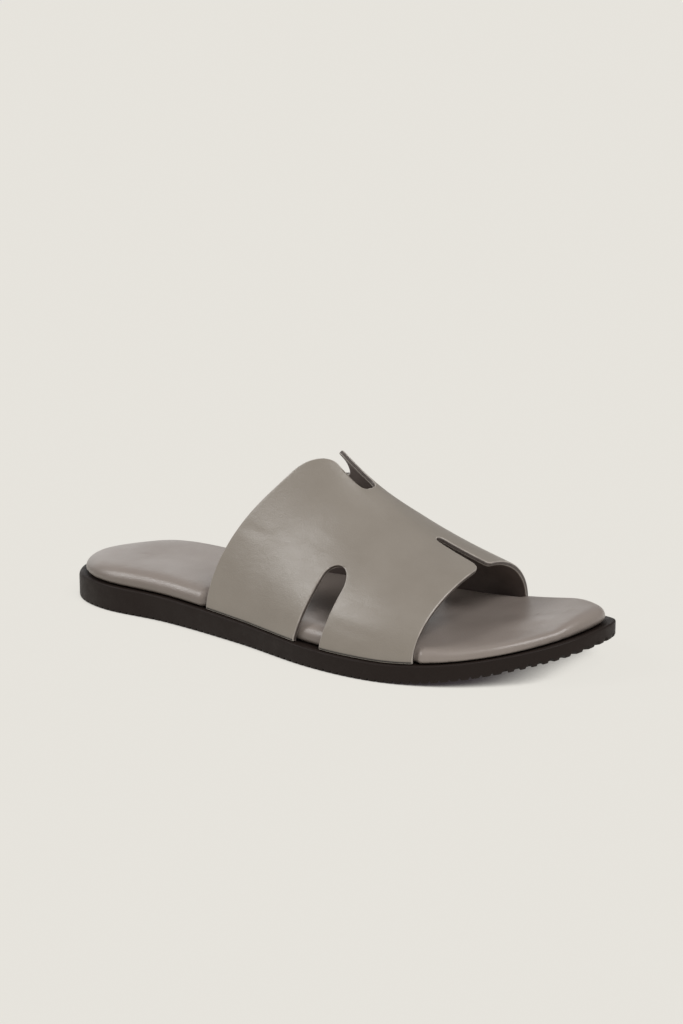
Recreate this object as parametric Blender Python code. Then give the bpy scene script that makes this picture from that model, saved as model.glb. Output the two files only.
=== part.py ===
"""Slide sandal for the right foot: a ribbed rubber outsole, a padded footbed and one slotted leather upper.

The frame has +X towards the toe, +Y towards the inner (medial) side and +Z up. The origin lies on the
floor below the middle of the sole. Lengths are in millimetres until to_metres() places a point.
"""
import math
from collections import namedtuple

import bmesh
import bpy

# Driving sizes of the sole
LENGTH = 285.0
HEEL_WIDTH = 70.5
WAIST_WIDTH = 78.0
BALL_WIDTH = 107.0
TOE_SWING = 11.0
HEEL_THICKNESS = 13.0
BALL_THICKNESS = 8.9
TOE_THICKNESS = 7.4
TOE_SPRING = 14.6

# Sole edge and tread
TOP_EDGE_ROUND = 1.0
HEEL_EDGE_ROUND = 3.0
FOOT_EDGE_ROUND = 0.6
SIDE_START = 1.8
RIB_PITCH = 4.0
RIB_FLAT = 2.4
GROOVE_DEPTH = 1.1
TREAD_MARGIN = 8.0

# Footbed
FOOTBED_THICKNESS = 9.0
HEEL_PUFF = 1.8
HEEL_LEDGE = 4.2
TOE_LEDGE = 5.0
SIDE_LEDGE = 1.5

# Upper
WALL = 2.2
INSTEP_HEIGHT = 87.5
SKIRT = 1.5
REAR_CUT_WIDTH = 9.5
REAR_CUT_OFFSET = 1.5
FRONT_CUT_TIP_WIDTH = 3.6
FRONT_CUT_MOUTH_WIDTH = 9.5
FRONT_CUT_OFFSET = -2.6
SIDE_CUT_BASE_WIDTH = 15.5
SIDE_CUT_TOP_WIDTH = 12.6

# Fits
SEAT_GAP = 0.3
PAD_GAP = 0.7

# Shares of LENGTH along the sole, measured from the back of the heel
HEEL_LEVEL_END = 0.10
BALL_LEVEL_START = 0.65
SPRING_START = 0.70
HEEL_END_ZONE = 0.10
TOE_END_ZONE = 0.12
REBATE_FADE = 0.018
REBATE_MARGIN = 0.005
REAR_CUT_END = 0.588
FRONT_CUT_END = 0.711

# The outline, from heel to toe: along is a share of LENGTH, the sides are shares of the named width
Station = namedtuple("Station", "along width medial lateral")
OUTLINE = (
    Station(0.04, HEEL_WIDTH, 0.325, 0.325),
    Station(0.12, HEEL_WIDTH, 0.500, 0.467),
    Station(0.25, HEEL_WIDTH, 0.506, 0.494),
    Station(0.42, WAIST_WIDTH, 0.430, 0.570),
    Station(0.58, BALL_WIDTH, 0.402, 0.535),
    Station(0.70, BALL_WIDTH, 0.440, 0.560),
    Station(0.80, BALL_WIDTH, 0.442, 0.493),
    Station(0.90, BALL_WIDTH, 0.410, 0.328),
    Station(0.97, BALL_WIDTH, 0.275, 0.152),
)

# The legs of the upper: where its rear and front edges stand and peak, as shares of LENGTH
# lean bends each side forwards as it rises, full rounds it out, and ridge is a share of BALL_WIDTH
Edge = namedtuple(
    "Edge", "lateral_foot medial_foot apex lateral_lean medial_lean lateral_full medial_full ridge")
REAR_EDGE = Edge(0.338, 0.380, 0.517, 2.55, 2.2, 1.50, 2.30, 0.006)
FRONT_EDGE = Edge(0.775, 0.790, 0.807, 2.1, 0.9, 2.05, 2.05, -0.050)

# The ridge of the upper: through is the share of the way from rear to front edge
Ridge = namedtuple("Ridge", "through height")
RIDGE = (
    Ridge(0.00, 1.000),
    Ridge(0.25, 0.823),
    Ridge(0.50, 0.696),
    Ridge(0.75, 0.592),
    Ridge(1.00, 0.508),
)

# The leaning cuts in the sides: foot and top are shares of LENGTH, height is a share of INSTEP_HEIGHT
SideCut = namedtuple("SideCut", "foot top height")
LATERAL_CUT = SideCut(0.576, 0.599, 0.492)
MEDIAL_CUT = SideCut(0.594, 0.619, 0.475)

# Rounded corners beside the two top cuts: depth along the shoe and width across it
Corner = namedtuple("Corner", "depth width")
REAR_LATERAL_CORNER = Corner(4.8, 9.5)
REAR_MEDIAL_CORNER = Corner(2.5, 3.5)
FRONT_LATERAL_CORNER = Corner(4.0, 5.0)
FRONT_MEDIAL_CORNER = Corner(2.5, 3.0)

# The footbed's rings: inset from its widest line and height as shares of its thickness
Ring = namedtuple("Ring", "inset height")
FOOTBED_RINGS = (
    Ring(0.12, 0.00),
    Ring(0.00, 0.16),
    Ring(0.00, 0.38),
    Ring(0.10, 0.62),
    Ring(0.30, 0.83),
    Ring(0.62, 0.96),
    Ring(1.10, 1.00),
    Ring(1.90, 0.97),
)

# How far the cutters reach: past the sheet's ends, below it and in towards the middle
CUT_OVERRUN = 28.0
CUT_START_HEIGHT = 26.0
CUT_DROP = 9.0
CUT_START_SIDE = 16.0

# Mesh steps
OUTLINE_STEPS = 48
END_STEPS = 5
END_STEP = math.radians(4.0)
SLOPE_STEP = math.radians(0.1)
FADE_STEPS = 2
SHEET_ROWS = 18
SHEET_COLUMNS = 52
ARC_STEPS = 8
SHARP_EDGE = 35.0
SHARP_PAD_EDGE = 60.0


def smooth_step(t):
    """Eases from 0 to 1 and stays there outside that range."""
    t = min(max(t, 0.0), 1.0)
    return t * t * (3.0 - 2.0 * t)


def curve_through(knots, values, at):
    """A smooth curve through the given values, read at one place between the knots."""
    last = len(knots) - 1
    slopes = []
    for i in range(last + 1):
        a, b = max(i - 1, 0), min(i + 1, last)
        slopes.append((values[b] - values[a]) / (knots[b] - knots[a]))
    i = 0
    while i < last - 1 and at > knots[i + 1]:
        i += 1
    span = knots[i + 1] - knots[i]
    t = (at - knots[i]) / span
    blend = t * t * (3.0 - 2.0 * t)
    ease_out = t * (1.0 - t) * (1.0 - t) * span
    ease_in = t * t * (t - 1.0) * span
    return (values[i] * (1.0 - blend) + values[i + 1] * blend
            + slopes[i] * ease_out + slopes[i + 1] * ease_in)


def angle_of(along):
    """The outline's turning angle, 0 at the heel and pi at the toe, for a share of LENGTH."""
    return math.acos(1.0 - 2.0 * min(max(along, 0.0), 1.0))


def outline_knots():
    """Angles and side positions once round the outline, with a lap to spare at both ends."""
    round_knots = [(0.0, 0.0)]
    for s in OUTLINE:
        round_knots.append((angle_of(s.along), s.medial * s.width))
    round_knots.append((math.pi, TOE_SWING))
    for s in reversed(OUTLINE):
        round_knots.append((math.tau - angle_of(s.along), -s.lateral * s.width))
    laps = []
    for lap in (-1, 0, 1):
        laps += [(angle + lap * math.tau, side) for angle, side in round_knots]
    return [k[0] for k in laps], [k[1] for k in laps]


KNOT_ANGLES, KNOT_SIDES = outline_knots()


def outline_point(angle):
    """A point of the sole's outline, medial side first."""
    along = LENGTH * (1.0 - math.cos(angle)) / 2.0
    return along, curve_through(KNOT_ANGLES, KNOT_SIDES, angle)


def side_at(x, side):
    """The outline's side position at x, on the medial side (1) or the lateral side (-1)."""
    angle = angle_of(x / LENGTH)
    return outline_point(angle if side > 0 else math.tau - angle)[1]


def inset_point(angle, inset):
    """A point of the outline moved inwards by the given inset."""
    x0, y0 = outline_point(angle - SLOPE_STEP)
    x1, y1 = outline_point(angle + SLOPE_STEP)
    x, y = outline_point(angle)
    reach = math.hypot(x1 - x0, y1 - y0)
    return x + inset * (y1 - y0) / reach, y - inset * (x1 - x0) / reach


def sole_bottom(x):
    """Height of the tread's plane: flat to the ball, then rising into the toe spring."""
    t = min(max((x / LENGTH - SPRING_START) / (1.0 - SPRING_START), 0.0), 1.0)
    return TOE_SPRING * t * t


def sole_top(x):
    """Height of the sole's upper face."""
    s = x / LENGTH
    to_ball = smooth_step((s - HEEL_LEVEL_END) / (BALL_LEVEL_START - HEEL_LEVEL_END))
    to_toe = smooth_step((s - BALL_LEVEL_START) / (1.0 - BALL_LEVEL_START))
    thickness = HEEL_THICKNESS + (BALL_THICKNESS - HEEL_THICKNESS) * to_ball
    thickness += (TOE_THICKNESS - BALL_THICKNESS) * to_toe
    return sole_bottom(x) + thickness


def top_round(x):
    """Width and drop of the sole's top edge, wider round the heel."""
    heel = smooth_step(1.0 - x / (LENGTH * HEEL_END_ZONE))
    return TOP_EDGE_ROUND + (HEEL_EDGE_ROUND - TOP_EDGE_ROUND) * heel


def outline_centre():
    """Half way between the widest points of the two sides."""
    sides = [outline_point(i * math.pi / OUTLINE_STEPS)[1] for i in range(2 * OUTLINE_STEPS)]
    return (max(sides) + min(sides)) / 2.0


CENTRE_SIDE = outline_centre()


def to_metres(x, y, z):
    """Places a point of the foot's own frame in the part's frame."""
    return (x - LENGTH / 2.0) / 1000.0, (y - CENTRE_SIDE) / 1000.0, z / 1000.0


def plain_material(name, colour, roughness):
    """A plain material in the colour of the piece."""
    material = bpy.data.materials.new(name)
    material.use_nodes = True
    shader = material.node_tree.nodes["Principled BSDF"]
    shader.inputs["Base Color"].default_value = (*colour, 1.0)
    shader.inputs["Roughness"].default_value = roughness
    shader.inputs["Metallic"].default_value = 0.0
    return material


def add_object(name, bm, material, sharp_angle):
    """Turns a finished bmesh into a named object with a material and smooth shading."""
    mesh = bpy.data.meshes.new(name)
    bm.to_mesh(mesh)
    bm.free()
    mesh.materials.append(material)
    mesh.shade_smooth()
    mesh.set_sharp_from_angle(angle=math.radians(sharp_angle))
    piece = bpy.data.objects.new(name, mesh)
    bpy.context.scene.collection.objects.link(piece)
    return piece


def loft_rings(bm, rings):
    """Joins rings of equal count by quads and closes both ends by strips from side to side.

    The rings run from bottom to top, and each starts at the heel and goes round by the medial side.
    """
    loops = [[bm.verts.new(to_metres(*point)) for point in ring] for ring in rings]
    count = len(loops[0])
    for lower, upper in zip(loops, loops[1:]):
        for i in range(count):
            j = (i + 1) % count
            bm.faces.new((lower[i], upper[i], upper[j], lower[j]))
    for loop in (loops[0], loops[-1]):
        for i in range(count // 2):
            corners = [loop[i], loop[i + 1], loop[-i - 1], loop[-i]]
            bm.faces.new(list(dict.fromkeys(corners)))
    bmesh.ops.recalc_face_normals(bm, faces=bm.faces)


def tread_stations():
    """Places along the sole, as (x, groove) pairs: flat ribs with a V groove after each."""
    stations = []
    for i in range(END_STEPS):
        x = LENGTH * (1.0 - math.cos(i * END_STEP)) / 2.0
        stations.append((x, 0.0))
        stations.append((LENGTH - x, 0.0))
    ribs = int((LENGTH - 2.0 * TREAD_MARGIN - RIB_FLAT) / RIB_PITCH)
    start = (LENGTH - ribs * RIB_PITCH - RIB_FLAT) / 2.0
    for i in range(ribs + 1):
        rib = start + i * RIB_PITCH
        stations.append((rib, 0.0))
        stations.append((rib + RIB_FLAT, 0.0))
        if i < ribs:
            stations.append((rib + (RIB_PITCH + RIB_FLAT) / 2.0, GROOVE_DEPTH))
    return sorted(stations)


def build_outsole():
    """The ribbed rubber sole, a loft of four rings from the ground edge to the top edge."""
    stations = tread_stations()
    lap = [(angle_of(x / LENGTH), groove) for x, groove in stations]
    lap += [(math.tau - angle, groove) for angle, groove in reversed(lap[1:-1])]
    ground, side_low, side_high, top = [], [], [], []
    for angle, groove in lap:
        x, y = inset_point(angle, FOOT_EDGE_ROUND)
        ground.append((x, y, sole_bottom(x) + groove))
        x, y = outline_point(angle)
        side_low.append((x, y, sole_bottom(x) + SIDE_START))
        edge_round = top_round(x)
        side_high.append((x, y, sole_top(x) - edge_round))
        x, y = inset_point(angle, edge_round)
        top.append((x, y, sole_top(x)))
    bm = bmesh.new()
    loft_rings(bm, (ground, side_low, side_high, top))
    material = plain_material("dark_rubber", (0.030, 0.022, 0.019), 0.55)
    return add_object("outsole", bm, material, SHARP_EDGE)


def rebate(x, side):
    """How much the footbed draws in, from 0 to 1, where a leg of the upper passes it."""
    if side > 0:
        first, last = REAR_EDGE.medial_foot, FRONT_EDGE.medial_foot
    else:
        first, last = REAR_EDGE.lateral_foot, FRONT_EDGE.lateral_foot
    s = x / LENGTH
    coming = smooth_step((s - first + REBATE_MARGIN + REBATE_FADE) / REBATE_FADE)
    going = smooth_step((last + REBATE_MARGIN + REBATE_FADE - s) / REBATE_FADE)
    return coming * going


def footbed_ledge(x, side):
    """Width of sole that shows outside the footbed."""
    s = x / LENGTH
    ledge = SIDE_LEDGE
    ledge += (HEEL_LEDGE - SIDE_LEDGE) * smooth_step(1.0 - s / HEEL_END_ZONE)
    ledge += (TOE_LEDGE - SIDE_LEDGE) * smooth_step((s - 1.0 + TOE_END_ZONE) / TOE_END_ZONE)
    return ledge + (WALL + PAD_GAP) * rebate(x, side)


def puff(x):
    """How much wider the footbed's rounded edge is at x, up to HEEL_PUFF at the back of the heel."""
    return 1.0 + (HEEL_PUFF - 1.0) * smooth_step(1.0 - x / (2.0 * LENGTH * HEEL_END_ZONE))


def footbed_angles():
    """Angles of the footbed's ring, with close steps where it draws in beside the upper."""
    angles = {i * math.pi / OUTLINE_STEPS for i in range(2 * OUTLINE_STEPS)}
    for first, last in ((REAR_EDGE.lateral_foot, FRONT_EDGE.lateral_foot),
                        (REAR_EDGE.medial_foot, FRONT_EDGE.medial_foot)):
        for step in range(FADE_STEPS + 1):
            fade = REBATE_MARGIN + REBATE_FADE * step / FADE_STEPS
            for along in (first - fade, last + fade):
                angles.add(angle_of(along))
                angles.add(math.tau - angle_of(along))
    return sorted(angles)


def build_footbed():
    """The padded footbed, a loft with puffed edges and a faintly dished top."""
    rings = []
    for ring in FOOTBED_RINGS:
        points = []
        for angle in footbed_angles():
            side = 1 if angle < math.pi else -1
            along = outline_point(angle)[0]
            inset = footbed_ledge(along, side) + ring.inset * FOOTBED_THICKNESS * puff(along)
            x, y = inset_point(angle, inset)
            points.append((x, y, sole_top(x) + SEAT_GAP + ring.height * FOOTBED_THICKNESS))
        rings.append(points)
    bm = bmesh.new()
    loft_rings(bm, rings)
    material = plain_material("padded_leather", (0.36, 0.32, 0.29), 0.5)
    return add_object("footbed", bm, material, SHARP_PAD_EDGE)


def edge_between(through):
    """The edge values part of the way from the rear edge to the front edge of the upper."""
    return Edge(*(rear + (front - rear) * through for rear, front in zip(REAR_EDGE, FRONT_EDGE)))


def upper_point(through, turn):
    """A point of the upper's outer face.

    through goes from the rear edge (0) to the front edge (1), and turn from the lateral foot (0)
    over the ridge (half pi) to the medial foot (pi).
    """
    edge = edge_between(through)
    side = -1 if turn < math.pi / 2.0 else 1
    foot = LENGTH * (edge.lateral_foot if side < 0 else edge.medial_foot)
    full = edge.lateral_full if side < 0 else edge.medial_full
    lean = edge.lateral_lean if side < 0 else edge.medial_lean
    out = abs(math.cos(turn)) ** (2.0 / full)
    up = max(math.sin(turn), 0.0) ** (2.0 / full)
    x = foot + (LENGTH * edge.apex - foot) * up ** lean
    ridge_side = edge.ridge * BALL_WIDTH
    foot_side = side_at(foot, side) - side * SIDE_LEDGE
    y = ridge_side + (foot_side - ridge_side) * out
    ridge_height = INSTEP_HEIGHT * curve_through(
        [r.through for r in RIDGE], [r.height for r in RIDGE], through)
    foot_height = sole_top(foot) + SEAT_GAP
    z = foot_height + SKIRT + (ridge_height - foot_height - SKIRT) * up
    return x, y, z


def corner_depth(corner, distance):
    """How far a rounded corner cuts back at a distance from the side of its cut."""
    if distance >= corner.width:
        return 0.0
    t = 1.0 - max(distance, 0.0) / corner.width
    return corner.depth * (1.0 - math.sqrt(1.0 - t * t))


def sheet_ends(turn):
    """Where the sheet starts and ends along the shoe at this turn, as shares of the way through."""
    span = LENGTH * (FRONT_EDGE.apex - REAR_EDGE.apex)
    rear_y = upper_point(0.0, turn)[1] - REAR_CUT_OFFSET
    front_y = upper_point(1.0, turn)[1] - FRONT_CUT_OFFSET
    rear = REAR_LATERAL_CORNER if rear_y < 0.0 else REAR_MEDIAL_CORNER
    front = FRONT_LATERAL_CORNER if front_y < 0.0 else FRONT_MEDIAL_CORNER
    first = corner_depth(rear, abs(rear_y) - REAR_CUT_WIDTH / 2.0) / span
    last = 1.0 - corner_depth(front, abs(front_y) - FRONT_CUT_MOUTH_WIDTH / 2.0) / span
    return first, last


def cutter(name, outline, lift):
    """A closed prism over an outline of points, hidden, that cuts one opening.

    lift gives the prism's second end from a point of the first.
    """
    bm = bmesh.new()
    near = [bm.verts.new(to_metres(*p)) for p in outline]
    face = bm.faces.new(near)
    made = bmesh.ops.extrude_face_region(bm, geom=[face])
    far = [v for v in made["geom"] if isinstance(v, bmesh.types.BMVert)]
    bmesh.ops.translate(bm, verts=far, vec=[v / 1000.0 for v in lift])
    bmesh.ops.recalc_face_normals(bm, faces=bm.faces)
    mesh = bpy.data.meshes.new(name)
    bm.to_mesh(mesh)
    bm.free()
    tool = bpy.data.objects.new(name, mesh)
    tool.display_type = "WIRE"
    tool.hide_render = True
    bpy.context.scene.collection.objects.link(tool)
    return tool


def round_end(centre_a, centre_b, radius, start):
    """Half a circle of points in a plane, from the start angle onwards."""
    points = []
    for i in range(ARC_STEPS + 1):
        angle = start + math.pi * i / ARC_STEPS
        points.append((centre_a + radius * math.cos(angle), centre_b + radius * math.sin(angle)))
    return points


def top_cut(name, end, opening, tip_width, mouth_width, offset):
    """A cutter for a slot along the ridge, round at its inner end and open at the sheet's edge."""
    toe_wards = 1.0 if opening > end else -1.0
    radius = tip_width / 2.0
    centre = end + toe_wards * radius
    arc = round_end(centre, offset, radius, math.pi / 2.0 if toe_wards > 0 else -math.pi / 2.0)
    far = opening + toe_wards * CUT_OVERRUN
    spread = (mouth_width / 2.0 - radius) * (far - centre) / (opening - centre)
    arc.append((far, offset - toe_wards * (radius + spread)))
    arc.append((far, offset + toe_wards * (radius + spread)))
    return cutter(name, [(x, y, CUT_START_HEIGHT) for x, y in arc], (0.0, 0.0, INSTEP_HEIGHT))


def side_cut(name, side, cut):
    """A cutter for the leaning slot that splits one side of the upper into two legs."""
    base = LENGTH * cut.foot
    foot_height = sole_top(base)
    radius = SIDE_CUT_TOP_WIDTH / 2.0
    top_x, top_z = LENGTH * cut.top, INSTEP_HEIGHT * cut.height - radius
    lean = math.atan2(top_x - base, top_z - foot_height)
    arc = round_end(top_x, top_z, radius, -lean)
    below = foot_height - CUT_DROP
    drift = CUT_DROP * math.tan(lean)
    half = SIDE_CUT_BASE_WIDTH / 2.0
    arc.append((base - drift - half, below))
    arc.append((base - drift + half, below))
    start = side * CUT_START_SIDE
    return cutter(name, [(x, start, z) for x, z in arc], (0.0, side * BALL_WIDTH / 2.0, 0.0))


def build_upper():
    """The upper: one sheet over the instep with the leather's thickness and four cuts."""
    bm = bmesh.new()
    bmesh.ops.create_grid(bm, x_segments=SHEET_ROWS, y_segments=SHEET_COLUMNS, size=1.0)
    foot_edges = [e for e in bm.edges if all(abs(v.co.y) > 1.0 - 1e-6 for v in e.verts)]
    for vert in bm.verts:
        turn = math.pi * (vert.co.y + 1.0) / 2.0
        first, last = sheet_ends(turn)
        through = first + (last - first) * (vert.co.x + 1.0) / 2.0
        vert.co = to_metres(*upper_point(through, turn))
    made = bmesh.ops.extrude_edge_only(bm, edges=foot_edges)
    skirt = [v for v in made["geom"] if isinstance(v, bmesh.types.BMVert)]
    bmesh.ops.translate(bm, verts=skirt, vec=(0.0, 0.0, -SKIRT / 1000.0))
    bmesh.ops.recalc_face_normals(bm, faces=bm.faces)
    material = plain_material("smooth_leather", (0.27, 0.24, 0.205), 0.45)
    upper = add_object("upper", bm, material, SHARP_EDGE)

    thickness = upper.modifiers.new("leather_thickness", "SOLIDIFY")
    thickness.thickness = WALL / 1000.0
    thickness.offset = -1.0
    thickness.use_even_offset = True
    cuts = (
        top_cut("rear_cut", LENGTH * REAR_CUT_END, LENGTH * REAR_EDGE.apex,
                REAR_CUT_WIDTH, REAR_CUT_WIDTH, REAR_CUT_OFFSET),
        top_cut("front_cut", LENGTH * FRONT_CUT_END, LENGTH * FRONT_EDGE.apex,
                FRONT_CUT_TIP_WIDTH, FRONT_CUT_MOUTH_WIDTH, FRONT_CUT_OFFSET),
        side_cut("lateral_cut", -1.0, LATERAL_CUT),
        side_cut("medial_cut", 1.0, MEDIAL_CUT),
    )
    for tool in cuts:
        boolean = upper.modifiers.new(tool.name, "BOOLEAN")
        boolean.operation = "DIFFERENCE"
        boolean.solver = "EXACT"
        boolean.object = tool
    return upper


def main():
    """Clears the scene and builds the three pieces."""
    for old in list(bpy.data.objects):
        bpy.data.objects.remove(old, do_unlink=True)
    build_outsole()
    build_footbed()
    build_upper()


main()
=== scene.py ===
import math
from collections import namedtuple

import bmesh
import bpy
import numpy as np
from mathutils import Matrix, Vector
from mathutils.kdtree import KDTree


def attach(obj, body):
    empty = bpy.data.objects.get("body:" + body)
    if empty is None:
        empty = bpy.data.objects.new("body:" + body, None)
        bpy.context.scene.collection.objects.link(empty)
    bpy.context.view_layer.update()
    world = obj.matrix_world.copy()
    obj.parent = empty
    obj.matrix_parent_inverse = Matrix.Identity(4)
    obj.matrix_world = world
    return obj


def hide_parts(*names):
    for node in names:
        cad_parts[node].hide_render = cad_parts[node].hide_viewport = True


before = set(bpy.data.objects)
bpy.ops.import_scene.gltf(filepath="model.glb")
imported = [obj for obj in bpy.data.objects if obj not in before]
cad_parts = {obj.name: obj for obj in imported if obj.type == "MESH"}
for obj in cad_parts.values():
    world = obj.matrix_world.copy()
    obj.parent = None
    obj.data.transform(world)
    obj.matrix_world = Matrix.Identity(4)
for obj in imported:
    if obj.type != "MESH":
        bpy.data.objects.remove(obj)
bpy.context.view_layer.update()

# The frame has +X towards the toe, +Y towards the inner side of the foot and +Z up
# Lengths are in millimetres, from the back of the heel and the heel's centre line, until to_metres()

# Sizes of the sole
LENGTH = 285.0
HEEL_WIDTH = 70.5
WAIST_WIDTH = 78.0
BALL_WIDTH = 107.0
TOE_SWING = 11.0
HEEL_THICKNESS = 13.0
BALL_THICKNESS = 8.9
TOE_THICKNESS = 7.4
TOE_SPRING = 14.6
HEEL_LEVEL_END = 0.10
BALL_LEVEL_START = 0.65
SPRING_START = 0.70
HEEL_END_ZONE = 0.10
TOE_END_ZONE = 0.12
TOP_EDGE_ROUND = 1.0
HEEL_EDGE_ROUND = 3.0
RIB_PITCH = 4.0
RIB_FLAT = 2.7
GROOVE_DEPTH = 0.9
GROOVE_SLOPE = 0.3
TREAD_MARGIN = 8.0
TEETH_START = 0.90
TEETH_INSET = 4.5
TOOTH_PITCH = 4.6
TOOTH_DEPTH = 1.9

# Sizes of the footbed
FOOTBED_THICKNESS = 9.0
HEEL_PUFF = 1.8
HEEL_LEDGE = 4.2
TOE_LEDGE = 5.0
SIDE_LEDGE = 1.5
REBATE_FADE = 0.011
REBATE_MARGIN = 0.003
PAD_LEVEL = 0.97
DISH_DEPTH = 0.05
DISH_PACE = 1.2
HEEL_DROP = 0.14
HEEL_DROP_REACH = 24.0
TOE_DROP = 0.36
TOE_DROP_REACH = 40.0
TOE_EDGE_START = 0.72
TOE_EDGE_FADE_IN = 0.13
TOE_EDGE_FADE_OUT = 0.04
TOE_TIGHTNESS = 0.5
TOE_TIGHT_REACH = 1.1
GATHER_HEIGHT = 0.55

# Sizes of the upper
WALL = 2.2
EDGE_ROUNDING = 0.45
INSTEP_HEIGHT = 87.5
SKIRT = 1.5
REAR_CUT_WIDTH = 9.5
REAR_CUT_OFFSET = 1.5
REAR_CUT_END = 0.583
FRONT_CUT_TIP_WIDTH = 5.2
FRONT_CUT_MOUTH_WIDTH = 8.0
FRONT_CUT_OFFSET = -2.8
FRONT_CUT_END = 0.711
SIDE_CUT_BASE_WIDTH = 15.8
SIDE_CUT_TOP_WIDTH = 14.0
SEAT_GAP = 0.3
PAD_GAP = 0.7

# The sole's outline: place as a share of LENGTH, a width, and both sides as shares of that width
Station = namedtuple("Station", "along width medial lateral")
OUTLINE = (
    Station(0.04, HEEL_WIDTH, 0.325, 0.325),
    Station(0.12, HEEL_WIDTH, 0.500, 0.467),
    Station(0.25, HEEL_WIDTH, 0.506, 0.494),
    Station(0.42, WAIST_WIDTH, 0.430, 0.570),
    Station(0.58, BALL_WIDTH, 0.402, 0.535),
    Station(0.70, BALL_WIDTH, 0.440, 0.560),
    Station(0.80, BALL_WIDTH, 0.442, 0.493),
    Station(0.90, BALL_WIDTH, 0.410, 0.328),
    Station(0.97, BALL_WIDTH, 0.275, 0.152),
)

# The upper's rear and front edge: feet and apex as shares of LENGTH, how each half leans and how full its
# curve is, and how far the ridge stands aside as a share of BALL_WIDTH
Edge = namedtuple(
    "Edge", "lateral_foot medial_foot apex lateral_lean medial_lean lateral_full medial_full ridge")
REAR_EDGE = Edge(0.338, 0.380, 0.517, 2.55, 2.2, 1.50, 2.30, 0.006)
FRONT_EDGE = Edge(0.7702, 0.790, 0.799, 1.86, 0.9, 1.83, 2.055, -0.050)

# The ridge from the rear edge to the front edge, in shares of INSTEP_HEIGHT
Ridge = namedtuple("Ridge", "through height")
RIDGE = (Ridge(0.00, 1.000), Ridge(0.25, 0.823), Ridge(0.50, 0.696), Ridge(0.75, 0.592), Ridge(1.00, 0.508))

# The leaning side cuts: foot and top as shares of LENGTH, height as a share of INSTEP_HEIGHT
SideCut = namedtuple("SideCut", "foot top height")
LATERAL_CUT = SideCut(0.5735, 0.5965, 0.503)
MEDIAL_CUT = SideCut(0.594, 0.619, 0.475)

# The rounded corners beside the top cuts: depth along the shoe and width across it
Corner = namedtuple("Corner", "depth width")
REAR_LATERAL_CORNER = Corner(4.8, 9.5)
REAR_MEDIAL_CORNER = Corner(2.5, 3.5)
FRONT_LATERAL_CORNER = Corner(5.0, 5.5)
FRONT_MEDIAL_CORNER = Corner(2.5, 3.0)

# The sheet of the upper: rows run across the shoe and columns along it
SHEET_ROWS = 88
SHEET_COLUMNS = 196
SHEET_SPAN = 92.0
SHEET_GIRTH = 205.0
RELAX_ROUNDS = 160
CURVE_WEIGHT = 2.2
SHARPEST_BEND = 0.6
FOOT_TOLERANCE = 1e-4
RIDGE_REACH = 16.0
RIDGE_ROUNDS = 12
EDGE_REACH = 6.0

# How many points the sheet's lines are worked out with, and which of them are the marks of a cut
EDGE_POINTS = 60
CORNER_POINTS = 13
CORNER_MIDDLE = 6
TOP_CUT_POINTS = 28
FOOT_EDGE_POINTS = 40
SIDE_CUT_POINTS = 23
SIDE_CUT_START = 0.04
ROUND_END_POINTS = 25
SHOULDERS = (6, 18)

# Places of the cuts in the sheet's rows and columns, as shares, and how far each cut reaches
LATERAL_ROWS = (0.49, 0.605)
MEDIAL_ROWS = (0.465, 0.575)
LATERAL_REACH = 0.236
MEDIAL_REACH = 0.200
REAR_COLUMNS = (0.463, 0.546)
REAR_REACH = 0.24
FRONT_COLUMNS = (0.490, 0.520)
FRONT_REACH = 0.67


def smooth_step(t):
    """Eases from 0 to 1 and stays there outside that range."""
    t = np.clip(t, 0.0, 1.0)
    return t * t * (3.0 - 2.0 * t)


def curve_through(knots, values, at):
    """A smooth curve through the given values, read at many places."""
    knots, values, at = (np.asarray(a, dtype=float) for a in (knots, values, at))
    slopes = np.empty_like(values)
    slopes[1:-1] = (values[2:] - values[:-2]) / (knots[2:] - knots[:-2])
    slopes[0] = (values[1] - values[0]) / (knots[1] - knots[0])
    slopes[-1] = (values[-1] - values[-2]) / (knots[-1] - knots[-2])
    i = np.clip(np.searchsorted(knots, at, side="left") - 1, 0, len(knots) - 2)
    span = knots[i + 1] - knots[i]
    t = (at - knots[i]) / span
    blend = t * t * (3.0 - 2.0 * t)
    return (values[i] * (1.0 - blend) + values[i + 1] * blend
            + slopes[i] * t * (1.0 - t) ** 2 * span + slopes[i + 1] * t * t * (t - 1.0) * span)


def solve(value_at, target, low=0.0, high=1.0):
    """Halves the interval until value_at, which only rises or only falls, gives the target."""
    low = np.full(np.shape(target), float(low))
    high = np.full(np.shape(target), float(high))
    rising = value_at(high) > value_at(low)
    for _ in range(36):
        middle = (low + high) / 2.0
        above = (value_at(middle) > target) == rising
        high = np.where(above, middle, high)
        low = np.where(above, low, middle)
    return (low + high) / 2.0


# The sole's outline and heights

def angle_of(along):
    """The outline's turning angle, 0 at the heel and pi at the toe, for a share of LENGTH."""
    return np.arccos(1.0 - 2.0 * np.clip(along, 0.0, 1.0))


def outline_knots():
    """Angles and side positions once round the outline, with a lap to spare at both ends."""
    knots = [(0.0, 0.0)]
    knots += [(float(angle_of(s.along)), s.medial * s.width) for s in OUTLINE]
    knots.append((math.pi, TOE_SWING))
    knots += [(math.tau - float(angle_of(s.along)), -s.lateral * s.width) for s in reversed(OUTLINE)]
    laps = [(angle + lap * math.tau, side) for lap in (-1, 0, 1) for angle, side in knots]
    return [k[0] for k in laps], [k[1] for k in laps]


KNOT_ANGLES, KNOT_SIDES = outline_knots()


def outline_point(angle):
    """Points of the sole's outline, medial side first."""
    return LENGTH * (1.0 - np.cos(angle)) / 2.0, curve_through(KNOT_ANGLES, KNOT_SIDES, angle)


def side_at(x, medial):
    """The outline's side position at x, on the medial or the lateral side."""
    angle = angle_of(np.asarray(x) / LENGTH)
    return outline_point(np.where(medial, angle, math.tau - angle))[1]


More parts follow.
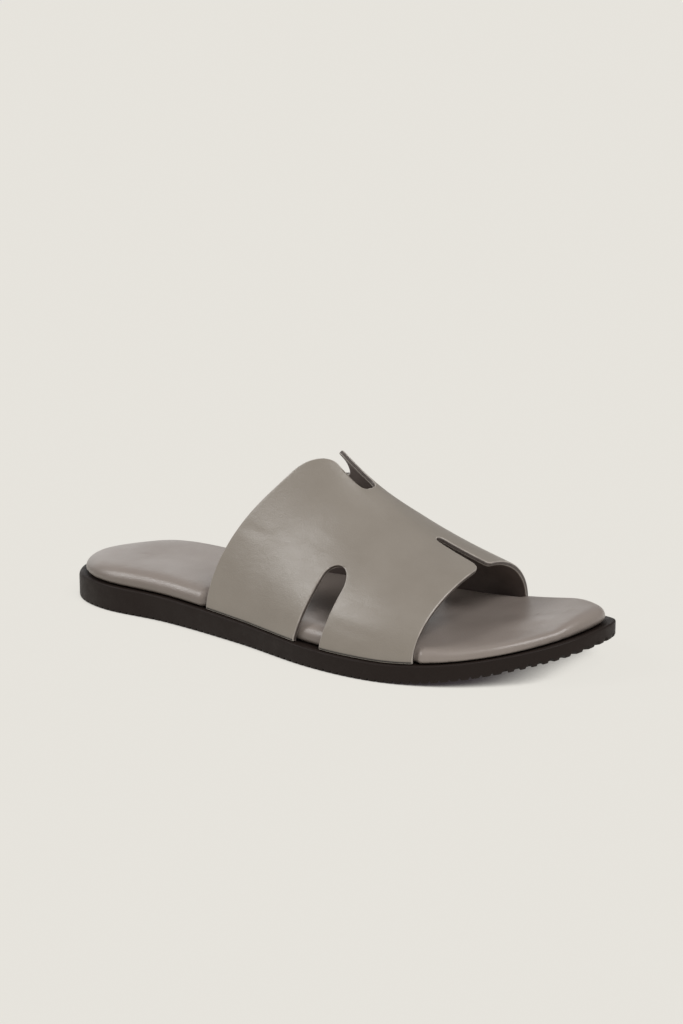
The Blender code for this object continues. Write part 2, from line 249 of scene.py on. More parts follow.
def inset_point(angle, inset):
    """Points of the outline moved inwards by the given inset."""
    step = math.radians(0.1)
    x0, y0 = outline_point(angle - step)
    x1, y1 = outline_point(angle + step)
    x, y = outline_point(angle)
    reach = np.hypot(x1 - x0, y1 - y0)
    return x + inset * (y1 - y0) / reach, y - inset * (x1 - x0) / reach


def sole_bottom(x):
    """Height of the tread's plane: flat to the ball, then rising into the toe spring."""
    return TOE_SPRING * np.clip((x / LENGTH - SPRING_START) / (1.0 - SPRING_START), 0.0, 1.0) ** 2


def sole_top(x):
    """Height of the sole's upper face."""
    s = x / LENGTH
    to_ball = smooth_step((s - HEEL_LEVEL_END) / (BALL_LEVEL_START - HEEL_LEVEL_END))
    to_toe = smooth_step((s - BALL_LEVEL_START) / (1.0 - BALL_LEVEL_START))
    thickness = HEEL_THICKNESS + (BALL_THICKNESS - HEEL_THICKNESS) * to_ball
    return sole_bottom(x) + thickness + (TOE_THICKNESS - BALL_THICKNESS) * to_toe


CENTRE_STEPS = 96


def outline_centre():
    """Half way between the widest points of the two sides."""
    sides = outline_point(np.arange(CENTRE_STEPS) * math.tau / CENTRE_STEPS)[1]
    return (sides.max() + sides.min()) / 2.0


CENTRE_SIDE = outline_centre()


def height_over_seat(vert):
    """A vertex's height over the sole's upper face and the seat gap, in millimetres."""
    x = vert.co.x * 1000.0 + LENGTH / 2.0
    return vert.co.z * 1000.0 - float(sole_top(x)) - SEAT_GAP


def to_metres(x, y, z):
    """Places points of the foot's own frame in the part's frame."""
    x, y, z = np.broadcast_arrays(x, y, z)
    return np.stack([(x - LENGTH / 2.0) / 1000.0, (y - CENTRE_SIDE) / 1000.0, z / 1000.0], axis=-1)


def finish_piece(bm, name, materials, sharp_angle):
    """Turns a finished bmesh into a named, smooth-shaded piece that rides on the shoe."""
    mesh = bpy.data.meshes.new(name)
    bm.to_mesh(mesh)
    bm.free()
    for material in materials:
        mesh.materials.append(material)
    mesh.shade_smooth()
    mesh.set_sharp_from_angle(angle=math.radians(sharp_angle))
    piece = bpy.data.objects.new(name, mesh)
    bpy.context.scene.collection.objects.link(piece)
    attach(piece, "root")
    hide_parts(name.split("_")[0])
    return piece


# The upper

def upper_surface(through, turn):
    """Points of the upper's outer face.

    through goes from the rear edge (0) to the front edge (1), and turn from the lateral foot (0)
    over the ridge (one half) to the medial foot (1).
    """
    through, turn = np.broadcast_arrays(np.asarray(through, float), np.asarray(turn, float))
    edge = Edge(*(rear + (front - rear) * through for rear, front in zip(REAR_EDGE, FRONT_EDGE)))
    medial = turn >= 0.5
    foot = LENGTH * np.where(medial, edge.medial_foot, edge.lateral_foot)
    full = np.where(medial, edge.medial_full, edge.lateral_full)
    lean = np.where(medial, edge.medial_lean, edge.lateral_lean)
    out = np.abs(np.cos(turn * math.pi)) ** (2.0 / full)
    up = np.maximum(np.sin(turn * math.pi), 0.0) ** (2.0 / full)
    x = foot + (LENGTH * edge.apex - foot) * up ** lean
    ridge_side = edge.ridge * BALL_WIDTH
    foot_side = side_at(foot, medial) - np.where(medial, SIDE_LEDGE, -SIDE_LEDGE)
    y = ridge_side + (foot_side - ridge_side) * out
    ridge_height = INSTEP_HEIGHT * curve_through(
        [r.through for r in RIDGE], [r.height for r in RIDGE], through)
    foot_height = sole_top(foot) + SEAT_GAP + SKIRT
    z = foot_height + (ridge_height - foot_height) * up
    return x, y, z


def turn_at_side(through, y):
    """The turn where the upper has the given side position."""
    return solve(lambda turn: upper_surface(through, turn)[1], y)


def from_above(x, y):
    """through and turn of a point of the upper that is known from above."""
    x, y = np.broadcast_arrays(np.asarray(x, float), np.asarray(y, float))
    through = solve(lambda t: upper_surface(t, turn_at_side(t, y))[0], x)
    return through, turn_at_side(through, y)


def from_the_side(x, z, medial):
    """through and turn of a point of the upper that is known from the medial or lateral side."""
    x, z = np.broadcast_arrays(np.asarray(x, float), np.asarray(z, float))
    low, high = (0.5, 1.0) if medial else (0.0, 0.5)

    def turn_at(through):
        return solve(lambda turn: upper_surface(through, turn)[2], z, low, high)

    through = solve(lambda t: upper_surface(t, turn_at(t))[0], x)
    return through, turn_at(through)


def corner_line(through_edge, inwards, corner, y_side, away):
    """A rounded corner as (through, turn) points, from the open edge to the side of its cut."""
    t = np.linspace(0.0, 1.0, CORNER_POINTS)
    distance = corner.width * (1.0 - np.sin(t * math.pi / 2.0))
    depth = corner.depth * (1.0 - np.cos(t * math.pi / 2.0))
    span = LENGTH * (FRONT_EDGE.apex - REAR_EDGE.apex)
    through = through_edge + inwards * depth / span
    return through, turn_at_side(through, y_side + away * distance)


def backwards(line):
    """The same (through, turn) points from the other end."""
    return tuple(part[::-1] for part in line)


def join(*lines):
    """Joins lines of (through, turn) points into one array in the flat sheet's millimetres."""
    through = np.concatenate([np.atleast_1d(line[0]) for line in lines])
    turn = np.concatenate([np.atleast_1d(line[1]) for line in lines])
    return np.stack([through * SHEET_SPAN, turn * SHEET_GIRTH], axis=1)


def spread(line, start, end, count):
    """Even places along part of a line of flat points, closer together where it curves."""
    steps = np.linalg.norm(np.diff(line, axis=0), axis=1)
    heading = np.unwrap(np.arctan2(*np.diff(line, axis=0).T))
    bends = CURVE_WEIGHT * np.minimum(np.abs(np.diff(heading)), SHARPEST_BEND) / 2.0
    weight = steps.copy()
    weight[1:] += bends
    weight[:-1] += bends
    along = np.concatenate([[0.0], np.cumsum(weight)])
    places = np.linspace(along[start], along[end], count)
    return np.stack([np.interp(places, along, line[:, axis]) for axis in (0, 1)], axis=1)


def top_cut_line(edge_through, cut_end, tip_width, mouth_width, offset, corners):
    """The sheet's rear or front edge with its cut, from the lateral foot to the medial foot.

    Also gives the places of the two corners' middles and of the two shoulders of the round end.
    """
    inwards = 1.0 if edge_through < 0.5 else -1.0
    apex = LENGTH * (REAR_EDGE.apex if edge_through < 0.5 else FRONT_EDGE.apex)
    radius = tip_width / 2.0
    centre = LENGTH * cut_end - inwards * radius
    lateral_corner, medial_corner = corners
    y_lateral, y_medial = offset - mouth_width / 2.0, offset + mouth_width / 2.0
    arc = np.linspace(-math.pi / 2.0, math.pi / 2.0, ROUND_END_POINTS)
    arc_x = centre + inwards * radius * np.cos(arc)
    arc_y = offset + radius * np.sin(arc)
    corner_lines, sides = [], []
    share = np.linspace(0.0, 1.0, TOP_CUT_POINTS + 2)[1:-1]
    for corner, y_mouth, y_tip, away in ((lateral_corner, y_lateral, arc_y[0], -1.0),
                                         (medial_corner, y_medial, arc_y[-1], 1.0)):
        y_start = y_mouth + (y_tip - y_mouth) * corner.depth / abs(centre - apex)
        line = corner_line(edge_through, inwards, corner, y_start, away)
        start_x = float(upper_surface(line[0][-1], line[1][-1])[0])
        corner_lines.append(line)
        sides.append(from_above(start_x + (centre - start_x) * share, y_start + (y_tip - y_start) * share))
    lateral, medial = corner_lines
    edge = np.full(EDGE_POINTS, edge_through)
    far_lateral = (edge, np.linspace(0.0, lateral[1][0], EDGE_POINTS + 1)[:-1])
    far_medial = (edge, np.linspace(medial[1][0], 1.0, EDGE_POINTS + 1)[1:])
    end = from_above(arc_x, arc_y)
    line = join(far_lateral, lateral, sides[0], end, backwards(sides[1]), backwards(medial), far_medial)
    end_start = EDGE_POINTS + CORNER_POINTS + TOP_CUT_POINTS
    shoulders = [end_start + shoulder for shoulder in SHOULDERS]
    second_corner = end_start + ROUND_END_POINTS + TOP_CUT_POINTS + CORNER_MIDDLE
    return line, (EDGE_POINTS + CORNER_MIDDLE, *shoulders, second_corner)


def side_cut_line(cut, medial):
    """A foot edge of the sheet with its leaning cut, from the rear corner to the front corner.

    Also gives the places of the cut's two feet and of the two shoulders of its round end.
    """
    base = LENGTH * cut.foot
    foot_height = sole_top(base)
    radius = SIDE_CUT_TOP_WIDTH / 2.0
    top_x, top_z = LENGTH * cut.top, INSTEP_HEIGHT * cut.height - radius
    lean = math.atan2(top_x - base, top_z - foot_height)
    arc = np.linspace(math.pi, 0.0, ROUND_END_POINTS) - lean
    end = from_the_side(top_x + radius * np.cos(arc), top_z + radius * np.sin(arc), medial)
    foot_turn = 1.0 if medial else 0.0
    sides, feet = [], []
    for sign, tip in ((-1.0, 0), (1.0, -1)):
        tip_x = top_x + radius * math.cos(arc[tip])
        tip_z = top_z + radius * math.sin(arc[tip])
        foot_x = base + sign * SIDE_CUT_BASE_WIDTH / 2.0
        low_z = foot_height + SEAT_GAP + SKIRT
        foot_x += (tip_x - foot_x) * (low_z - foot_height) / (tip_z - foot_height)
        run = np.linspace(SIDE_CUT_START, 1.0, SIDE_CUT_POINTS + 1)[:-1]
        sides.append(from_the_side(foot_x + (tip_x - foot_x) * run, low_z + (tip_z - low_z) * run, medial))
        feet.append(float(solve(lambda t: upper_surface(t, foot_turn)[0], foot_x)))
    edge = np.full(FOOT_EDGE_POINTS, foot_turn)
    rear = (np.linspace(0.0, feet[0], FOOT_EDGE_POINTS), edge)
    front = (np.linspace(feet[1], 1.0, FOOT_EDGE_POINTS), edge)
    line = join(rear, sides[0], end, backwards(sides[1]), front)
    end_start = FOOT_EDGE_POINTS + SIDE_CUT_POINTS
    shoulders = [end_start + shoulder for shoulder in SHOULDERS]
    return line, (FOOT_EDGE_POINTS - 1, *shoulders, end_start + ROUND_END_POINTS + SIDE_CUT_POINTS)


def lay_boundary(grid, cells, line, marks):
    """Moves a path of grid cells onto a line so that the path's own corners meet the line's marks."""
    stops = [0, *marks, len(line) - 1]
    for k, path in enumerate(cells):
        places = spread(line, stops[k], stops[k + 1], len(path))
        for (row, column), place in zip(path, places):
            grid[row][column].co.x, grid[row][column].co.y = place


def straight(start, end):
    """Row and column pairs along one row or one column of the grid."""
    (r0, c0), (r1, c1) = start, end
    count = max(abs(r1 - r0), abs(c1 - c0)) + 1
    return [(round(r), round(c)) for r, c in zip(np.linspace(r0, r1, count), np.linspace(c0, c1, count))]


def path_through(*corners):
    """The straight runs between the given corners of the grid."""
    return [straight(a, b) for a, b in zip(corners, corners[1:])]


def sheet_grid():
    """A flat grid of the sheet's size, and its vertices by row and column."""
    bm = bmesh.new()
    bmesh.ops.create_grid(bm, x_segments=SHEET_ROWS, y_segments=SHEET_COLUMNS, size=0.5)
    grid = [[None] * (SHEET_COLUMNS + 1) for _ in range(SHEET_ROWS + 1)]
    for vert in bm.verts:
        row = round((vert.co.x + 0.5) * SHEET_ROWS)
        column = round((vert.co.y + 0.5) * SHEET_COLUMNS)
        grid[row][column] = vert
        vert.co = (SHEET_SPAN * row / SHEET_ROWS, SHEET_GIRTH * column / SHEET_COLUMNS, 0.0)
    return bm, grid


def lay_top_cut(grid, edge, reach, columns, line, marks):
    """Lays the rear or front edge of the grid with its cut, and gives the cut's block of the grid."""
    first, last = (round(share * SHEET_COLUMNS) for share in columns)
    tip = round(reach * SHEET_ROWS)
    lay_boundary(grid, path_through((edge, 0), (edge, first), (tip, first), (tip, last),
                                    (edge, last), (edge, SHEET_COLUMNS)), line, marks)
    return min(edge, tip), max(edge, tip), first, last


def lay_side_cut(grid, edge, reach, rows, line, marks):
    """Lays a foot edge of the grid with its cut, and gives the cut's block of the grid."""
    first, last = (round(share * SHEET_ROWS) for share in rows)
    tip = abs(edge - round(reach * SHEET_COLUMNS))
    lay_boundary(grid, path_through((0, edge), (first, edge), (first, tip), (last, tip),
                                    (last, edge), (SHEET_ROWS, edge)), line, marks)
    return first, last, min(edge, tip), max(edge, tip)


def block_face(grid, row, column):
    """The face of the grid that starts at the given row and column."""
    corners = {grid[row + i][column + j] for i in (0, 1) for j in (0, 1)}
    return next(face for face in grid[row][column].link_faces if set(face.verts) == corners)


def flat_sheet():
    """The flat upper as a grid whose open edges, cuts and rounded corners lie on their true lines."""
    bm, grid = sheet_grid()
    rear = top_cut_line(0.0, REAR_CUT_END, REAR_CUT_WIDTH, REAR_CUT_WIDTH, REAR_CUT_OFFSET,
                        (REAR_LATERAL_CORNER, REAR_MEDIAL_CORNER))
    front = top_cut_line(1.0, FRONT_CUT_END, FRONT_CUT_TIP_WIDTH, FRONT_CUT_MOUTH_WIDTH, FRONT_CUT_OFFSET,
                         (FRONT_LATERAL_CORNER, FRONT_MEDIAL_CORNER))
    blocks = (
        lay_top_cut(grid, 0, REAR_REACH, REAR_COLUMNS, *rear),
        lay_top_cut(grid, SHEET_ROWS, FRONT_REACH, FRONT_COLUMNS, *front),
        lay_side_cut(grid, 0, LATERAL_REACH, LATERAL_ROWS, *side_cut_line(LATERAL_CUT, False)),
        lay_side_cut(grid, SHEET_COLUMNS, MEDIAL_REACH, MEDIAL_ROWS, *side_cut_line(MEDIAL_CUT, True)),
    )
    held = {v for v in bm.verts if v.is_boundary}
    waste = []
    for first, last, low, high in blocks:
        held.update(grid[row][column] for row in range(first, last + 1) for column in range(low, high + 1)
                    if row in (first, last) or column in (low, high))
        waste += [block_face(grid, row, column) for row in range(first, last) for column in range(low, high)]
    bmesh.ops.delete(bm, geom=waste, context="FACES")
    free = [v for v in bm.verts if v not in held]
    for _ in range(RELAX_ROUNDS):
        bmesh.ops.smooth_vert(bm, verts=free, factor=0.9, use_axis_x=True, use_axis_y=True)
    return bm


# Places on the sheet are in its flat millimetres: along runs from the rear edge to the front edge
# and girth from the lateral foot to the medial foot

# Where the leather has set away from the plain curve: place, reach both ways, and shift in the foot's frame
Pull = namedtuple("Pull", "along girth reach_along reach_girth x y z")
PULLS = (
    Pull(0.0, 38.0, 26.0, 26.0, 3.6, 0.0, 0.0),
    Pull(0.0, 78.0, 22.0, 12.0, -1.2, 0.0, 2.2),
    Pull(12.0, 98.0, 16.0, 7.0, 0.0, -1.8, -2.0),
    Pull(0.0, 116.0, 14.0, 5.0, -1.7, -0.6, 0.5),
    Pull(0.0, 131.0, 19.0, 10.0, 5.0, 0.0, -6.3),
    Pull(0.0, 147.0, 22.0, 12.0, 2.5, 0.0, -2.6),
)

# Soft troughs and ridges of the worn-in leather
Fold = namedtuple("Fold", "along girth to_along to_girth width height")
FOLDS = (
    Fold(1.0, 43.8, 12.0, 45.5, 1.6, -0.12),
    Fold(1.0, 49.0, 14.0, 50.0, 3.2, 0.11),
    Fold(1.0, 40.0, 16.0, 41.0, 2.8, 0.09),
    Fold(8.0, 53.0, 16.0, 49.0, 1.5, -0.06),
    Fold(16.0, 52.0, 38.0, 56.0, 3.0, -0.10),
    Fold(24.0, 60.0, 42.0, 62.0, 2.2, 0.07),
    Fold(12.0, 70.0, 30.0, 66.0, 3.0, -0.08),
    Fold(56.0, 30.0, 84.0, 24.0, 6.0, 0.20),
    Fold(58.0, 20.0, 82.0, 16.0, 4.0, -0.12),
    Fold(62.0, 38.0, 80.0, 36.0, 3.0, -0.10),
    Fold(6.0, 150.0, 38.0, 164.0, 8.0, 0.35),
    Fold(14.0, 166.0, 36.0, 172.0, 4.5, -0.22),
    Fold(56.0, 176.0, 84.0, 180.0, 6.0, 0.25),
)


def fold_height(along, girth):
    """Height of the folds above the plain sheet at flat places."""
    total = np.zeros_like(along)
    for fold in FOLDS:
        run = np.array([fold.to_along - fold.along, fold.to_girth - fold.girth])
        reach = np.linalg.norm(run)
        share = ((along - fold.along) * run[0] + (girth - fold.girth) * run[1]) / reach ** 2
        away = ((along - fold.along) * run[1] - (girth - fold.girth) * run[0]) / reach
        fade = smooth_step((share + 0.15) / 0.4) * smooth_step((1.15 - share) / 0.4)
        total += fold.height * np.exp(-(away / fold.width) ** 2) * fade
    return total


def set_shift(along, girth):
    """How far the leather has set away from the plain curve at flat places."""
    total = np.zeros((len(along), 3))
    for pull in PULLS:
        near = np.exp(-((along - pull.along) / pull.reach_along) ** 2
                      - ((girth - pull.girth) / pull.reach_girth) ** 2)
        total += near[:, None] * np.array([pull.x, pull.y, pull.z])
    return total / 1000.0


def mark_edge_distance(bm, layer):
    """Writes each vertex's distance to the nearest open edge, in millimetres, up to EDGE_REACH."""
    tree = KDTree(sum(v.is_boundary for v in bm.verts))
    for i, vert in enumerate(v for v in bm.verts if v.is_boundary):
        tree.insert(vert.co, i)
    tree.balance()
    for vert in bm.verts:
        vert[layer] = min(tree.find(vert.co)[2] * 1000.0, EDGE_REACH)


def add_wall(piece):
    """Gives the leather sheet its thickness and rounds its cut edges."""
    wall = piece.modifiers.new("wall", "SOLIDIFY")
    wall.thickness = WALL / 1000.0
    wall.offset = -1.0
    wall.use_even_offset = True
    wall.material_offset = 1
    wall.material_offset_rim = 2
    rounding = piece.modifiers.new("rounded_cut_edges", "BEVEL")
    rounding.width = EDGE_ROUNDING / 1000.0
    rounding.use_clamp_overlap = False
    rounding.segments = 3
    rounding.limit_method = "ANGLE"
    rounding.angle_limit = math.radians(50.0)
    rounding.material = 3


def make_upper(leather, lining, cut_edge, rim):
    """The upper as a folded leather sheet with a lining, its real thickness and rounded cut edges."""
    bm = flat_sheet()
    bm.verts.ensure_lookup_table()
    flat = np.array([v.co[:2] for v in bm.verts])
    feet = [e for e in bm.edges if e.is_boundary
            and all(v.co.y < FOOT_TOLERANCE or v.co.y > SHEET_GIRTH - FOOT_TOLERANCE for v in e.verts)]
    places = to_metres(*upper_surface(flat[:, 0] / SHEET_SPAN, flat[:, 1] / SHEET_GIRTH))
    places += set_shift(flat[:, 0], flat[:, 1])
    for vert, place in zip(bm.verts, places):
        vert.co = place
    bmesh.ops.recalc_face_normals(bm, faces=bm.faces)
    if sum(f.normal.z * f.calc_area() for f in bm.faces) < 0.0:
        bmesh.ops.reverse_faces(bm, faces=bm.faces)
    ridge = [v for v, (along, girth) in zip(bm.verts, flat)
             if abs(girth - SHEET_GIRTH / 2.0) < RIDGE_REACH and not v.is_boundary]
    for _ in range(RIDGE_ROUNDS):
        bmesh.ops.smooth_vert(bm, verts=ridge, factor=0.5, use_axis_x=True, use_axis_y=True, use_axis_z=True)
    bm.normal_update()
    for vert, height in zip(bm.verts, fold_height(flat[:, 0], flat[:, 1])):
        vert.co += vert.normal * height / 1000.0
    made = bmesh.ops.extrude_edge_only(bm, edges=feet)
    skirt = [v for v in made["geom"] if isinstance(v, bmesh.types.BMVert)]
    bmesh.ops.translate(bm, verts=skirt, vec=(0.0, 0.0, -SKIRT / 1000.0))
    mark_edge_distance(bm, bm.verts.layers.float.new("edge_distance"))
    foot_height = bm.verts.layers.float.new("foot_height")
    for vert in bm.verts:
        vert[foot_height] = height_over_seat(vert)
    add_wall(finish_piece(bm, "upper_leather", (leather, lining, cut_edge, rim), 50.0))


# Rings of the sole and the footbed

def middle_line(ring, squeeze=0.0):
    """The ring drawn in to its own middle line, where both sides meet."""
    mirrored = np.roll(ring[::-1], 1, axis=0)
    line = (ring + mirrored) / 2.0
    centre = (line[:, 0].min() + line[:, 0].max()) / 2.0
    line[:, 0] = centre + (line[:, 0] - centre) * (1.0 - squeeze)
    return line


def stack_rings(rings):
    """Joins rings of points into one closed skin whose first and last ring close on themselves."""
    bm = bmesh.new()
    made = bmesh.ops.create_circle(bm, segments=len(rings[0]), radius=1.0)
    order = {vert: i for i, vert in enumerate(made["verts"])}
    edges = list(bm.edges)
    for vert, i in order.items():
        vert.co = rings[0][i]
    for ring in rings[1:]:
        made = bmesh.ops.extrude_edge_only(bm, edges=edges)
        new = [v for v in made["geom"] if isinstance(v, bmesh.types.BMVert)]
        edges = [e for e in made["geom"] if isinstance(e, bmesh.types.BMEdge)
                 and all(v not in order for v in e.verts)]
        moved = {}
        for vert in new:
            for edge in vert.link_edges:
                below = edge.other_vert(vert)
                if below in order:
                    moved[vert] = order[below]
        for vert, i in moved.items():
            vert.co = ring[i]
        order = moved
    bmesh.ops.remove_doubles(bm, verts=bm.verts, dist=1e-6)
    bmesh.ops.dissolve_degenerate(bm, edges=bm.edges, dist=1e-6)
    bmesh.ops.recalc_face_normals(bm, faces=bm.faces)
    return bm


# Points of the rounded heel's back before the first rib, in degrees round the outline
HEEL_TURNS = tuple(range(0, 20, 2))

# One tooth of the toe: places as shares of its pitch, and whether they lie in the gap
ToothPoint = namedtuple("ToothPoint", "share cut")
TOOTH = (ToothPoint(0.16, 1.0), ToothPoint(0.42, 1.0), ToothPoint(0.58, 0.0), ToothPoint(1.0, 0.0))
TOE_SAMPLES = 400


def tread_angles():
    """Angles once round the outline, each with its groove depth and whether it is in a tooth of the toe."""
    stations = [(math.radians(turn), 0.0, 0.0) for turn in HEEL_TURNS]
    ribs = int((TEETH_START * LENGTH - TREAD_MARGIN - RIB_FLAT) / RIB_PITCH)
    slope = (RIB_PITCH - RIB_FLAT) * GROOVE_SLOPE
    for i in range(ribs + 1):
        rib = TREAD_MARGIN + i * RIB_PITCH
        places = [(rib, 0.0), (rib + RIB_FLAT / 2.0, 0.0), (rib + RIB_FLAT, 0.0)]
        if i < ribs:
            places += [(rib + RIB_FLAT + slope, GROOVE_DEPTH), (rib + RIB_PITCH - slope, GROOVE_DEPTH)]
        stations += [(float(angle_of(x / LENGTH)), groove, 0.0) for x, groove in places]
    stations.sort()
    first = stations[-1][0]
    fine = np.linspace(first, math.pi, TOE_SAMPLES)
    x, y = outline_point(fine)
    run = np.concatenate([[0.0], np.cumsum(np.hypot(np.diff(x), np.diff(y)))])
    teeth = round(run[-1] / TOOTH_PITCH)
    for i in range(teeth):
        for point in TOOTH:
            place = float(np.interp((i + point.share) / teeth * run[-1], run, fine))
            stations.append((place, point.cut * TOOTH_DEPTH, 1.0))
    back = [(math.tau - angle, groove, tooth) for angle, groove, tooth in reversed(stations[1:-1])]
    return np.array(stations + back)


# The outsole's lower rings: inset, height over the tread's plane, and how much of a groove's depth they take
TreadRing = namedtuple("TreadRing", "inset lift notch")
TREAD_RINGS = (
    TreadRing(3.20, 0.0, 1.00),
    TreadRing(0.60, 0.0, 1.00),
    TreadRing(0.25, 0.2, 1.00),
    TreadRing(0.06, 0.6, 0.85),
    TreadRing(0.00, 1.1, 0.45),
    TreadRing(0.00, 2.0, 0.00),
)

# Its side rings as shares of the plain side, the turns of its rounded top edge in degrees, and how far
# inside that edge the rings of its upper face lie
SIDE_SHARES = (0.35, 0.7)
TOP_EDGE_TURNS = (0.0, 22.5, 45.0, 67.5, 90.0)
TOP_FACE_INSETS = (0.8, 7.0)


def make_outsole(rubber):
    """The rubber sole with its ribbed tread, notched lower edge, plain side and rounded top edge."""
    angles, grooves, teeth = tread_angles().T
    outline_x = outline_point(angles)[0]
    heel = smooth_step(1.0 - outline_x / (LENGTH * HEEL_END_ZONE))
    top_round = TOP_EDGE_ROUND + (HEEL_EDGE_ROUND - TOP_EDGE_ROUND) * heel
    rings = []

    def ring(inset, height_of, lift=0.0):
        x, y = inset_point(angles, inset)
        rings.append(to_metres(x, y, height_of(x) + lift))

    ring(TEETH_INSET, sole_bottom, grooves * (1.0 - teeth))
    for tread_ring in TREAD_RINGS:
        ring(tread_ring.inset, sole_bottom, tread_ring.lift + grooves * tread_ring.notch)
    low = rings[-1][:, 2] * 1000.0
    high = sole_top(outline_x) - top_round
    x, y = inset_point(angles, 0.0)
    for share in SIDE_SHARES:
        rings.append(to_metres(x, y, low + (high - low) * share))
    for turn in np.radians(TOP_EDGE_TURNS):
        ring(top_round * (1.0 - math.cos(turn)), sole_top, top_round * (math.sin(turn) - 1.0))
    for inset in TOP_FACE_INSETS:
        ring(top_round + inset, sole_top)
    rings.insert(0, middle_line(rings[0]))
    rings.append(middle_line(rings[-1]))
    return finish_piece(stack_rings(rings), "outsole_rubber", (rubber,), 40.0)


# The footbed's rings: inset from its widest line and height as shares of its thickness
Ring = namedtuple("Ring", "inset height")
FOOTBED_RINGS = (
    Ring(0.15, 0.00),
    Ring(0.00, 0.16),
    Ring(0.00, 0.38),
    Ring(0.10, 0.62),
    Ring(0.30, 0.83),
    Ring(0.62, 0.96),
    Ring(1.10, 1.00),
    Ring(1.90, 0.97),
)
FOOTBED_STEPS = 512
SIDE_RINGS = 22
TOP_RINGS = 14
TOP_REACH = 30.0
SPINE_SQUEEZE = 0.12
CUSHION_LEVEL = 0.8
CUSHION_ROUNDS = 6

# How deep the shade painted on the footbed's side behind the toes is, and where that painted shade fades:
# height as a share of the footbed's thickness, and place as a share of LENGTH
SIDE_SHADE = 0.55
SHADE_TOP = 0.85
SHADE_HEIGHT = 0.6
SHADE_END = 0.72
SHADE_LENGTH = 0.1

# Small gathers where the leather is drawn under the footbed: place along the shoe and side, width and depth
Gather = namedtuple("Gather", "along side width depth")
GATHERS = (
    Gather(0.020, -1, 1.0, 0.35),
    Gather(0.034, -1, 0.9, 0.30),
    Gather(0.052, -1, 1.1, 0.38),
    Gather(0.071, -1, 0.9, 0.25),
    Gather(0.098, -1, 1.2, 0.22),
    Gather(0.018, 1, 1.0, 0.33),
    Gather(0.040, 1, 1.0, 0.30),
    Gather(0.066, 1, 1.1, 0.26),
    Gather(0.800, -1, 1.2, 0.26),
    Gather(0.826, -1, 1.0, 0.20),
    Gather(0.940, -1, 1.0, 0.24),
    Gather(0.958, -1, 0.9, 0.30),
    Gather(0.972, -1, 0.9, 0.26),
    Gather(0.950, 1, 1.0, 0.26),
    Gather(0.970, 1, 0.9, 0.30),
)


def rebate(x, medial):
    """How much the footbed draws in, from 0 to 1, where a leg of the upper passes it."""
    first = np.where(medial, REAR_EDGE.medial_foot, REAR_EDGE.lateral_foot)
    last = np.where(medial, FRONT_EDGE.medial_foot, FRONT_EDGE.lateral_foot)
    s = x / LENGTH
    coming = smooth_step((s - first + REBATE_MARGIN + REBATE_FADE) / REBATE_FADE)
    going = smooth_step((last + REBATE_MARGIN + REBATE_FADE - s) / REBATE_FADE)
    return coming * going


def footbed_ledge(x, medial):
    """Width of sole that shows outside the footbed."""
    s = x / LENGTH
    ledge = SIDE_LEDGE + (HEEL_LEDGE - SIDE_LEDGE) * smooth_step(1.0 - s / HEEL_END_ZONE)
    ledge += (TOE_LEDGE - SIDE_LEDGE) * smooth_step((s - 1.0 + TOE_END_ZONE) / TOE_END_ZONE)
    return ledge + (WALL + PAD_GAP) * rebate(x, medial)


def gather_depth(x, medial, height):
    """How far the gathers draw the footbed's side in, most at its lower edge."""
    depth = np.zeros_like(x)
    for gather in GATHERS:
        away = (x - gather.along * LENGTH) / gather.width
        depth += gather.depth * np.exp(-away ** 2) * (medial == (gather.side > 0))
    return depth * smooth_step(1.0 - height / GATHER_HEIGHT)


def toe_edge(s, medial):
    """How far a share of the length is in the thinner outer edge before the toes, from 0 to 1."""
    coming = smooth_step((s - TOE_EDGE_START) / TOE_EDGE_FADE_IN)
    return coming * smooth_step((1.0 - s) / TOE_EDGE_FADE_OUT) * ~medial


def edge_drop(x, medial, distance):
    """How far the pad is pressed down near its edge, at the heel's back and the toe's outer side."""
    s = x / LENGTH
    heel = HEEL_DROP * smooth_step(1.0 - s / (1.2 * HEEL_END_ZONE))
    toe = TOE_DROP * toe_edge(s, medial)
    return (heel * (1.0 - smooth_step(distance / HEEL_DROP_REACH))
            + toe * (1.0 - smooth_step(distance / TOE_DROP_REACH)))


def footbed_side(angles, along, medial, puff):
    """The footbed's side rings, from its lower edge over the puffed edge to the crest."""
    knots = np.arange(len(FOOTBED_RINGS))
    insets = [ring.inset for ring in FOOTBED_RINGS]
    heights = [ring.height for ring in FOOTBED_RINGS]
    rings = []
    for place in np.linspace(0.0, knots[-1], SIDE_RINGS):
        share_in = float(curve_through(knots, insets, place))
        share_up = float(curve_through(knots, heights, place))
        tightness = toe_edge(along / LENGTH, medial) * (1.0 - smooth_step(share_in / TOE_TIGHT_REACH))
        roll = share_in * FOOTBED_THICKNESS * puff
        inset = footbed_ledge(along, medial) + roll * (1.0 - TOE_TIGHTNESS * tightness)
        x, y = inset_point(angles, inset + gather_depth(along, medial, share_up))
        height = share_up * (1.0 - edge_drop(along, medial, roll)) * FOOTBED_THICKNESS
        rings.append(to_metres(x, y, sole_top(x) + SEAT_GAP + height))
    return rings


def footbed_top(crest, along, medial, crest_inset):
    """The footbed's top rings, from the crest down into the faint dish along the middle."""
    spine = middle_line(crest, SPINE_SQUEEZE)
    rings = []
    for share in np.linspace(0.0, 1.0, TOP_RINGS + 1)[1:]:
        ring = crest + (spine - crest) * share
        x = ring[:, 0] * 1000.0 + LENGTH / 2.0
        drop = edge_drop(along, medial, crest_inset + TOP_REACH * share)
        level = (PAD_LEVEL - DISH_DEPTH * smooth_step(share * DISH_PACE)) * (1.0 - drop)
        ring[:, 2] = (sole_top(x) + SEAT_GAP + level * FOOTBED_THICKNESS) / 1000.0
        rings.append(ring)
    return rings


